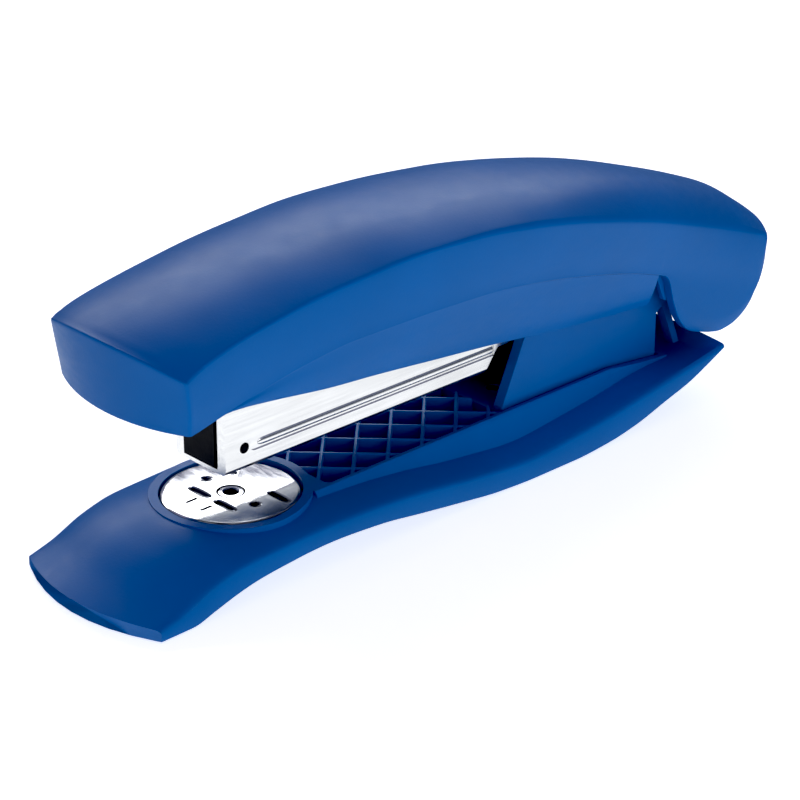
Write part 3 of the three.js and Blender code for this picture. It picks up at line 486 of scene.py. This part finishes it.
def cap_ring(u, inset=0.0, scale=1.0, push=0.0, at=None):
    """A closed ring over the cap at u. scale shrinks it towards a point on the mid plane at height at."""
    half = cap_half(u, inset)
    arch = list(half) + [(-y, z) for y, z in reversed(half[:-1])]
    out = []
    for y, z in arch:
        y2 = y * scale
        z2 = z if at is None else at + (z - at) * scale
        out.append((u + push + front_bow(u, y2, z2) + rear_bow(u, y2), y2, z2))
    x0, y0, z0 = out[0]
    for t in span(-1, 1, 9)[1:-1]:
        y = y0 * t
        front = front_bow(u, y, z0) - front_bow(u, y0, z0)
        rear = rear_bow(u, y) - rear_bow(u, y0)
        out.append((x0 + front + rear, y, z0))
    return out


def cap_body(name, inset, fine):
    """The cap as a solid. The fine one has its front and rear faces rounded off in rings."""
    start, end = CHIN_X + inset, TAIL_END - inset
    us = span(start, 66, 96 if fine else 30) + span(66.6, 75, 26 if fine else 10)
    us += span(76, 87.9, 14 if fine else 8) + span(88, 100, 20 if fine else 10)
    us += [100.4, 100.8, 101.1, 101.35, 101.55]
    us += [TAIL_CLOSED + inset - 0.01, TAIL_CLOSED + inset]
    us = sorted({round(u, 3) for u in us if start + 0.8 < u < end - 0.05})
    if not fine:
        return loft(name, [cap_ring(u, inset) for u in [start] + us + [end]], 50)
    r, front_mid, rear_mid = 0.55, 43.0, 30.2
    rings = [cap_ring(start, inset, s, 0.0, front_mid) for s in span(0.03, 0.9, 14)]
    for a in (0, 25, 50, 70, 90):
        t = math.radians(a)
        scale = 1 - (r / 19) * (1 - math.sin(t))
        rings.append(cap_ring(start, inset, scale, r * (1 - math.cos(t)), front_mid))
    rings += [cap_ring(u, inset) for u in us]
    rings += [cap_ring(end, inset, s, 0.0, rear_mid) for s in (1.0, 0.97, 0.85, 0.65, 0.4, 0.2, 0.04)]
    return loft(name, rings, 50)


def make_cap():
    cap = cap_body("cap_shell", 0.0, True)
    combine(cap, [cap_body("cap_hollow", CAP_WALL, False)], "DIFFERENCE")
    xs = span(CHIN_X, BAND_END, 80) + span(67.5, 88, 60)
    below = [(-80, -5), (130, -5), (130, 13.1), (88.2, 13.1)]
    below += [(x, lower_edge(x)) for x in reversed(xs)] + [(-80, 38.4)]
    combine(cap, [extrude("below", below, -40, 40)], "DIFFERENCE")
    soften(cap, 42)
    return cap


def skirt_ring(u):
    ws, zs, wl, zl = BAND_W(u), BAND(u) - 0.06, SKIRT_LOW_W(u), SKIRT_LOW(u)
    top = float(np.interp(u, [-62, 30, 48, 68], [46.6, 46.6, 45.2, 39.0]))
    zl = min(zl, zs - 0.4)
    right = [(wl - 0.45, zl), (wl - 0.12, zl + 0.1), (wl, zl + 0.42)]
    for k in range(1, 8):
        t = k / 8
        right.append((wl + (ws - 0.45 - wl) * t + 0.25 * math.sin(math.pi * t), zl + (zs - zl) * t))
    right += [(ws - 0.35, zs), (ws - 2.35, zs), (ws - 2.35, top)]
    inner = [(ws - 3.65, top - 1.8), (ws - 3.65, zs), (wl - 1.8, zl)]
    left, inner_left = [[(-y, z) for y, z in reversed(part)] for part in (right, inner)]
    return [(u, y, z) for y, z in right + left + inner_left + inner]


def make_skirt():
    return loft("skirt_shell", [skirt_ring(u) for u in span(-60.5, 66.8, 70)], 38)


def make_lip():
    """The inner lip behind the tail's front edge, one on each side."""
    outline = [(67.3, 33.6), (68.6, 30.2), (70.8, 25.0), (73.4, 24.2), (76, 24.8), (73, 33.6)]
    y0, y1 = 12.9, 14.2
    right = extrude("tail_lip_right", outline, -y1, -y0)
    left = extrude("tail_lip_left", outline, y0, y1)
    return [bevel(right, 0.25), bevel(left, 0.25)]


# ---- Small parts ----
def make_anvil():
    """The turning disc, with its four grooves, two marks, two dimples and bore."""
    r, z1, z0 = ANVIL_R, ANVIL_TOP_Z, 10.6
    profile = [
        (0.02, z0), (r - 0.3, z0), (r, z0 + 0.3), (r, z1 - 0.45), (r - 0.1, z1 - 0.18), (r - 0.4, z1 - 0.02),
        (r - 0.8, z1), (0.02, z1),
    ]
    disc = lathe("anvil_plate", profile, (ANVIL_X, 0, 0), 96)
    cuts = []
    for dx, y0, y1 in ((-4.6, -7.3, -0.4), (-4.6, 0.4, 7.3), (5.4, 4.6, 11.6), (5.4, -11.6, -4.6)):
        mid, half = (y0 + y1) / 2, (y1 - y0) / 2
        groove = [
            (1.2 * math.sqrt(max(0.0, 1 - (t / half) ** 4)) + 0.01, mid + t) for t in span(-half, half, 17)
        ]
        cuts.append(lathe("groove", groove, (ANVIL_X + dx, 0, z1 + 0.5), 24, "y"))
    for y in (-2.2, 2.2):
        cuts.append(block("mark", ANVIL_X - 9.4, ANVIL_X - 6.6, y - 0.4, y + 0.4, z1 - 0.4, z1 + 1))
    for y in (-7.4, 7.4):
        dimple = [(0.3, z1 - 0.6), (1.3, z1 - 0.15), (1.45, z1 + 0.4)]
        cuts.append(lathe("dimple", dimple, (ANVIL_X, y, 0), 28))
    cuts.append(disc_solid("bore", RIVET_BORE_R, 0, 20, 32))
    cuts.append(disc_solid("bore", 2.9, z1 - 0.5, 20, 40))
    combine(disc, cuts, "DIFFERENCE")
    soften(disc, 30)
    return disc


def make_rivet():
    z = ANVIL_TOP_Z
    profile = [
        (0.02, 7.6), (3.4, 7.6), (3.6, 7.8), (3.6, 8.1), (1.9, 8.25), (1.9, z - 0.5), (2.45, z - 0.45),
        (2.6, z - 0.28), (2.4, z - 0.08), (1.7, z - 0.05), (1.35, z - 0.35), (1.3, z - 1.6), (0.02, z - 1.7),
    ]
    return lathe("anvil_rivet_turned", profile, (ANVIL_X, 0, 0), 48)


def helix(axis, at, a, b, r, turns, start=0.0):
    """Points of a coil of radius r along an axis from a to b, 28 to each turn."""
    out = []
    count = int(turns * 28) + 1
    for k in range(count):
        t = k / (count - 1)
        ang = start + 2 * math.pi * turns * t
        p, q, s = at[0] + r * math.cos(ang), at[1] + r * math.sin(ang), a + (b - a) * t
        out.append({"x": (s, p, q), "y": (p, s, q), "z": (p, q, s)}[axis])
    return out


def make_springs():
    feed = tube("feed_coil", helix("x", (0, FEED_Z), FEED_X0, FEED_X1, 2.0, 12), 0.35)
    back = tube("return_coil", helix("z", (RETURN_X, 0), RETURN_Z0, RETURN_Z1, 3.4, 5), 0.5)
    coil = helix("y", (AXLE_X, AXLE_Z), 4, -4, 3.7, 4.5, math.pi / 2)
    lead = [Vector(coil[-1]) + Vector((-s, -0.2, s * 0.22)) for s in span(1.5, 26.5, 10)]
    top = [Vector(coil[0]) + Vector((-s, 0.2, s * 0.24 + 0.3)) for s in span(19, 1.5, 10)]
    torsion = tube("handle_coil", [tuple(p) for p in top] + coil + [tuple(p) for p in lead], 0.55)
    return feed, back, torsion


def make_strip():
    """The glued strip: one groove between each two staple wires."""
    w, wire, top, low, x0, x1 = 6.45, 0.6, 27.4, 21.5, -41.9, -12.5
    rings = []
    count = int(round((x1 - x0) / wire))
    for k in range(count):
        for f, d in ((0.04, 0.12), (0.25, 0.0), (0.75, 0.0), (0.96, 0.12)):
            x = x0 + (k + f) * wire
            o, t, i = w - d, top - d, w - wire
            section = [
                (o, low), (o, t - 0.5), (o - 0.15, t - 0.15), (o - 0.5, t), (-o + 0.5, t),
                (-o + 0.15, t - 0.15), (-o, t - 0.5), (-o, low), (-i, low), (-i, top - 0.62),
                (i, top - 0.62), (i, low),
            ]
            rings.append([(x, y, z) for y, z in section])
    return loft("staple_row", rings, 25)


def make_bead(name, side):
    """The raised middle of the pressed bead, with a rounded front end, lying in the magazine's groove."""
    half_h, depth, y0 = 0.78, 0.27, 7.06
    front = [(-36.5, 0.05), (-36.4, 0.4), (-36.1, 0.7), (-35.6, 0.9), (-34.9, 1.0)]
    rings = []
    for x, grow in front + [(x, 1.0) for x in span(-20, 26.4, 4)]:
        arc = [
            (y0 + depth * grow * math.cos(a), SIDE_HOLE_Z + half_h * grow * math.sin(a))
            for a in span(-math.pi / 2, math.pi / 2, 11)
        ]
        rings.append([(x, y * side, z) for y, z in arc])
    return loft(name, rings, 60)


# Painted shade: a black plug in the magazine's side hole, standing in for the dark inside seen through it.
def make_hole_shade_plug(name, side):
    profile = [(0.02, 6.7), (1.12, 6.7), (1.12, 7.2), (0.95, 7.3), (0.02, 7.3)]
    return lathe(name, [(r, h * side) for r, h in profile], (SIDE_HOLE_X, 0, SIDE_HOLE_Z), 28, "y")


def make_foot(name, x, y):
    profile = [(0.02, 0.0), (3.9, 0.0), (4.3, 0.12), (4.5, 0.45), (4.5, 1.2), (0.02, 1.2)]
    return lathe(name + "_pad", profile, (x, y, 0), 40)


def cross_screw(name, x, z_head, z_tip, head_r):
    """A pan-head screw along Z, its head down, with a cross recess; z_head is the head's seat."""
    shank_r = 1.5
    profile = [
        (0.02, z_head - 1.4), (head_r * 0.6, z_head - 1.35), (head_r * 0.88, z_head - 1.05),
        (head_r, z_head - 0.55), (head_r, z_head), (shank_r, z_head), (shank_r, z_tip), (0.02, z_tip),
    ]
    screw = lathe(name, profile, (x, 0, 0), 36)
    for dx, dy in ((1.7, 0.32), (0.32, 1.7)):
        combine(screw, [block("slot", x - dx, x + dx, -dy, dy, z_head - 2, z_head - 0.8)], "DIFFERENCE")
    soften(screw, 35)
    return screw


# ---- Materials ----
def material(name):
    mat = bpy.data.materials.new(name)
    mat.use_nodes = True
    tree = mat.node_tree
    tree.nodes.clear()
    out = tree.nodes.new("ShaderNodeOutputMaterial")
    shader = tree.nodes.new("ShaderNodeBsdfPrincipled")
    tree.links.new(shader.outputs[0], out.inputs[0])
    coord = tree.nodes.new("ShaderNodeTexCoord")
    return mat, tree, shader, coord.outputs["Object"]


def noise(tree, coord, scale, detail, stretch=None):
    n = tree.nodes.new("ShaderNodeTexNoise")
    n.inputs["Scale"].default_value = scale
    n.inputs["Detail"].default_value = detail
    n.inputs["Roughness"].default_value = 0.55
    if stretch:
        mapping = tree.nodes.new("ShaderNodeMapping")
        mapping.inputs["Scale"].default_value = stretch
        tree.links.new(coord, mapping.inputs[0])
        coord = mapping.outputs[0]
    tree.links.new(coord, n.inputs["Vector"])
    return n.outputs["Fac"]


def ramp(tree, fac, stops):
    r = tree.nodes.new("ShaderNodeValToRGB")
    while len(r.color_ramp.elements) > len(stops):
        r.color_ramp.elements.remove(r.color_ramp.elements[-1])
    while len(r.color_ramp.elements) < len(stops):
        r.color_ramp.elements.new(0.5)
    for e, (p, c) in zip(r.color_ramp.elements, stops):
        e.position = p
        e.color = (*c, 1)
    tree.links.new(fac, r.inputs[0])
    return r.outputs[0]


def scalar(tree, fac, low, high):
    """A noise's middle half spread over low to high."""
    m = tree.nodes.new("ShaderNodeMapRange")
    m.inputs["From Min"].default_value = 0.25
    m.inputs["From Max"].default_value = 0.75
    m.inputs["To Min"].default_value = low
    m.inputs["To Max"].default_value = high
    tree.links.new(fac, m.inputs[0])
    return m.outputs[0]


def bump(tree, shader, heights):
    """Chained bumps: (height socket, strength, distance in mm)."""
    last = None
    for height, strength, distance in heights:
        b = tree.nodes.new("ShaderNodeBump")
        b.inputs["Strength"].default_value = strength
        b.inputs["Distance"].default_value = distance * MM
        tree.links.new(height, b.inputs["Height"])
        if last:
            tree.links.new(last, b.inputs["Normal"])
        last = b.outputs[0]
    tree.links.new(last, shader.inputs["Normal"])


def plastic(name, dark, light, rough, grain, depth, spec):
    """A matt moulding with a fine eroded grain and faint flow marks."""
    mat, tree, shader, coord = material(name)
    drift = noise(tree, coord, 35, 4)
    fine = noise(tree, coord, grain, 2)
    scuff = noise(tree, coord, 260, 5, (1, 1, 3))
    tree.links.new(ramp(tree, drift, [(0.3, dark), (0.7, light)]), shader.inputs["Base Color"])
    tree.links.new(scalar(tree, scuff, rough - 0.05, rough + 0.06), shader.inputs["Roughness"])
    shader.inputs["Specular IOR Level"].default_value = spec
    bump(tree, shader, [(fine, 0.35, depth), (scuff, 0.08, 0.05)])
    return mat


def metal(name, dark, light, rough, streak, scale, depth=0.004):
    """Plated or bare steel with rolling streaks and fine handling marks."""
    mat, tree, shader, coord = material(name)
    tone = noise(tree, coord, 60, 4)
    lines = noise(tree, coord, scale, 3, streak)
    tree.links.new(ramp(tree, tone, [(0.3, dark), (0.7, light)]), shader.inputs["Base Color"])
    tree.links.new(scalar(tree, lines, rough - 0.05, rough + 0.07), shader.inputs["Roughness"])
    shader.inputs["Metallic"].default_value = 1.0
    bump(tree, shader, [(lines, 0.2, depth)])
    return mat


# Painted shade: a near-black colour laid into the anvil's recesses.
RECESS_SHADE_COLOUR = (0.03, 0.035, 0.045, 1)


def paint_shade_below(mat, low, high):
    """Paints shade: darkens the colour below a height in mm, so the pressed recesses look dark."""
    tree = mat.node_tree
    shader = next(n for n in tree.nodes if n.type == "BSDF_PRINCIPLED")
    coord = next(n for n in tree.nodes if n.type == "TEX_COORD").outputs["Object"]
    split = tree.nodes.new("ShaderNodeSeparateXYZ")
    tree.links.new(coord, split.inputs[0])
    height = tree.nodes.new("ShaderNodeMapRange")
    height.inputs["From Min"].default_value = low * MM
    height.inputs["From Max"].default_value = high * MM
    tree.links.new(split.outputs["Z"], height.inputs[0])
    blend = tree.nodes.new("ShaderNodeMix")
    blend.data_type = "RGBA"
    blend.inputs[6].default_value = RECESS_SHADE_COLOUR
    tree.links.new(shader.inputs["Base Color"].links[0].from_socket, blend.inputs[7])
    tree.links.new(height.outputs[0], blend.inputs[0])
    tree.links.new(blend.outputs[2], shader.inputs["Base Color"])


def rubber(name):
    mat, tree, shader, coord = material(name)
    tone = noise(tree, coord, 90, 4)
    fine = noise(tree, coord, 1500, 3)
    tint = ramp(tree, tone, [(0.3, (0.012, 0.012, 0.013)), (0.7, (0.022, 0.022, 0.023))])
    tree.links.new(tint, shader.inputs["Base Color"])
    tree.links.new(scalar(tree, fine, 0.8, 0.95), shader.inputs["Roughness"])
    bump(tree, shader, [(fine, 0.4, 0.05)])
    return mat


BLUE = plastic("blue_moulding", (0.0, 0.102, 0.34), (0.0, 0.114, 0.38), 0.38, 1700, 0.05, 0.15)
BLACK = plastic("black_moulding", (0.003, 0.003, 0.004), (0.006, 0.006, 0.007), 0.45, 1500, 0.05, 0.12)
NICKEL = metal("bright_nickel", (0.80, 0.80, 0.79), (0.88, 0.88, 0.87), 0.20, (0.05, 1, 1), 1200)
CHROME = metal("polished_plate", (0.50, 0.51, 0.53), (0.60, 0.61, 0.63), 0.09, (1, 0.2, 1), 700, 0.002)
# Painted shade: the disc and rivet turn near-black just below the disc's top, in the marks, grooves, dimples
# and bores and down the side.
paint_shade_below(CHROME, ANVIL_TOP_Z - 0.32, ANVIL_TOP_Z - 0.12)
ZINC = metal("zinc_plate", (0.50, 0.51, 0.53), (0.60, 0.61, 0.62), 0.36, (1, 1, 0.3), 800)
SPRING = metal("spring_wire", (0.30, 0.30, 0.31), (0.40, 0.40, 0.41), 0.30, (1, 1, 1), 1500)
STAPLE = metal("staple_wire", (0.55, 0.55, 0.56), (0.68, 0.68, 0.68), 0.28, (1, 0.1, 0.1), 1500)
RUBBER = rubber("pad_rubber")


def dress(obj, mat, body, slot_name, *replaced):
    obj.data.materials.clear()
    obj.data.materials.append(mat)
    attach(obj, body)
    if replaced:
        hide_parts(*replaced)
    return obj


def keep(name, mat, width):
    """A CAD node that stays, with a procedural finish and a small bevel."""
    obj = NODES[name]
    obj.data.materials.clear()
    obj.data.materials.append(mat)
    bevel(obj, width)


# ---- Build ----
dress(make_base(), BLUE, "base", "blue_plastic", "base_shell")
dress(make_cap(), BLUE, "handle", "blue_plastic", "handle_cap")
dress(make_skirt(), BLUE, "handle", "blue_plastic", "handle_skirt")
for lip in make_lip():
    dress(lip, BLUE, "handle", "blue_plastic")
for node, (fx, fy) in FEET.items():
    dress(make_foot(node, fx, fy), RUBBER, "base", "rubber", node)
dress(make_anvil(), CHROME, "anvil", "nickelled_steel", "anvil_disc")
dress(make_rivet(), CHROME, "base", "nickelled_steel", "anvil_rivet")
feed, back, torsion = make_springs()
dress(feed, SPRING, "magazine", "spring_steel", "feed_spring")
dress(back, SPRING, "base", "spring_steel", "return_spring")
dress(torsion, SPRING, "handle", "spring_steel", "handle_spring")
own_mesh(feed)
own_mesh(back)
for side, word in ((-1, "right"), (1, "left")):
    dress(make_bead("bead_" + word, side), NICKEL, "magazine", "nickelled_steel")
    # Painted shade: black plugs fill the side holes in place of their dark insides.
    dress(make_hole_shade_plug("hole_shade_plug_" + word, side), BLACK, "magazine", "black_plastic")
dress(make_strip(), STAPLE, "magazine", "zinc_steel", "staple_strip")
for node, x in zip(("bracket_screw_front", "bracket_screw_rear"), BRACKET_SCREW_X):
    dress(cross_screw(node + "_cut", x, 7.3, 11.3, 3.1), ZINC, "base", "zinc_steel", node)
for node, x in zip(("frame_screw_front", "frame_screw_rear"), FRAME_SCREW_X):
    dress(cross_screw(node + "_cut", x, 43.1, 54.0, 2.7), ZINC, "handle", "zinc_steel", node)
keep("hinge_bracket", BLUE, 0.35)
for node in ("anvil_washer", "axle_clip_left", "axle_clip_right"):
    keep(node, SPRING, 0.08)
for node in (
    "hinge_axle", "magazine_stop_pin", "guide_rod", "blade_holder", "blade_rivet_left", "blade_rivet_right",
):
    keep(node, ZINC, 0.15)
keep("driver_arm", ZINC, 0.2)
keep("driver_blade", SPRING, 0.05)
keep("magazine_channel", NICKEL, 0.3)
keep("staple_rail", NICKEL, 0.12)
for node in ("magazine_nose", "pusher", "magazine_saddle"):
    keep(node, BLACK, 0.2)

# ---- Floor, light and camera ----
FLOOR_GLOW = 0.72
bpy.ops.mesh.primitive_plane_add(size=6, location=(0, 0, 0))
floor = bpy.context.object
floor.name = "floor"
fmat, ftree, fshader, fcoord = material("floor_paper")
paper = ramp(ftree, noise(ftree, fcoord, 40, 3), [(0.3, (0.84,) * 3), (0.7, (0.87,) * 3)])
ftree.links.new(paper, fshader.inputs["Base Color"])
fshader.inputs["Roughness"].default_value = 0.9
fshader.inputs["Specular IOR Level"].default_value = 0.0
fshader.inputs["Emission Color"].default_value = (1, 1, 1, 1)
fshader.inputs["Emission Strength"].default_value = FLOOR_GLOW
floor.data.materials.append(fmat)
floor.visible_glossy = False  # reflections show the light tent all round instead

# A white backdrop all round, which only the camera sees.
bpy.ops.mesh.primitive_cylinder_add(
    radius=2.9, depth=6, vertices=96, end_fill_type="NOTHING", location=(0, 0, 2.9)
)
backdrop = bpy.context.object
backdrop.name = "backdrop"
bmat, btree, bshader, bcoord = material("backdrop_paper")
white = ramp(btree, noise(btree, bcoord, 2, 2), [(0.3, (0.94,) * 3), (0.7, (0.97,) * 3)])
btree.links.new(white, bshader.inputs["Emission Color"])
bshader.inputs["Base Color"].default_value = (0, 0, 0, 1)
bshader.inputs["Specular IOR Level"].default_value = 0.0
bshader.inputs["Emission Strength"].default_value = 1.0
backdrop.data.materials.append(bmat)
backdrop.visible_glossy = False
backdrop.visible_diffuse = False
backdrop.visible_shadow = False
backdrop.visible_transmission = False


def area(name, location, target, size, power):
    light = bpy.data.lights.new(name, "AREA")
    light.shape = "RECTANGLE"
    light.size, light.size_y = size
    light.energy = power
    obj = bpy.data.objects.new(name, light)
    obj.location = location
    obj.rotation_euler = (Vector(target) - Vector(location)).to_track_quat("-Z", "Y").to_euler()
    bpy.context.scene.collection.objects.link(obj)


area("softbox_back_left", (0.63, 0.90, 0.74), (0, 0, 0.05), (1.7, 0.30), 11.0)
area("key_right", (-0.15, -1.25, 0.34), (0, 0, 0.03), (1.1, 0.5), 4.2)
area("fill_front", (-1.25, -0.25, 0.30), (0, 0, 0.03), (0.8, 0.5), 0.8)

# A soft tent of light by height alone: white below, dark round the horizon, violet-grey overhead.
TENT = [
    (-1.0, (0.84, 0.86, 0.90)), (-0.42, (0.84, 0.86, 0.90)), (-0.28, (0.05, 0.06, 0.08)),
    (0.0, (0.05, 0.06, 0.09)),
    (0.3, (0.15, 0.16, 0.22)), (0.7, (0.20, 0.20, 0.30)), (1.0, (0.20, 0.20, 0.31)),
]
TENT_STRENGTH = 1.5
world = bpy.data.worlds.new("studio")
bpy.context.scene.world = world
world.use_nodes = True
wt = world.node_tree
wt.nodes.clear()
w_out = wt.nodes.new("ShaderNodeOutputWorld")
w_bg = wt.nodes.new("ShaderNodeBackground")
w_coord = wt.nodes.new("ShaderNodeTexCoord")
w_split = wt.nodes.new("ShaderNodeSeparateXYZ")
w_half = wt.nodes.new("ShaderNodeMapRange")
w_half.inputs["From Min"].default_value = -1.0
wt.links.new(w_coord.outputs["Generated"], w_split.inputs[0])
wt.links.new(w_split.outputs["Z"], w_half.inputs[0])
wt.links.new(ramp(wt, w_half.outputs[0], [((z + 1) / 2, c) for z, c in TENT]), w_bg.inputs[0])
w_bg.inputs["Strength"].default_value = TENT_STRENGTH
wt.links.new(w_bg.outputs[0], w_out.inputs[0])

# The photograph's camera, solved with its focal length held at 126 mm and no roll. CAM_AT is in design mm.
CAM_AZ, CAM_EL = math.radians(-43.049), math.radians(25.255)
CAM_AT = (-343.27, -375.36, 259.41)
BLACK_POINT = 0.012
cam_data = bpy.data.cameras.new("camera")
cam_data.sensor_width = 36
cam_data.lens = 126
cam_data.clip_start = 0.01
camera = bpy.data.objects.new("camera", cam_data)
bpy.context.scene.collection.objects.link(camera)
back_v = Vector((math.sin(CAM_AZ) * math.cos(CAM_EL), -math.cos(CAM_AZ) * math.cos(CAM_EL), math.sin(CAM_EL)))
right_v = Vector((math.cos(CAM_AZ), math.sin(CAM_AZ), 0))
up_v = back_v.cross(right_v)
rot = Matrix((right_v, up_v, back_v)).transposed().to_4x4()
cam_x, cam_y, cam_z = CAM_AT
camera.matrix_world = Matrix.Translation(((cam_x + SHIFT_X) * MM, cam_y * MM, cam_z * MM)) @ rot
bpy.context.scene.camera = camera
view = bpy.context.scene.view_settings
view.view_transform = "Standard"
view.use_curve_mapping = True
view.curve_mapping.black_level = (BLACK_POINT,) * 3
view.curve_mapping.update()
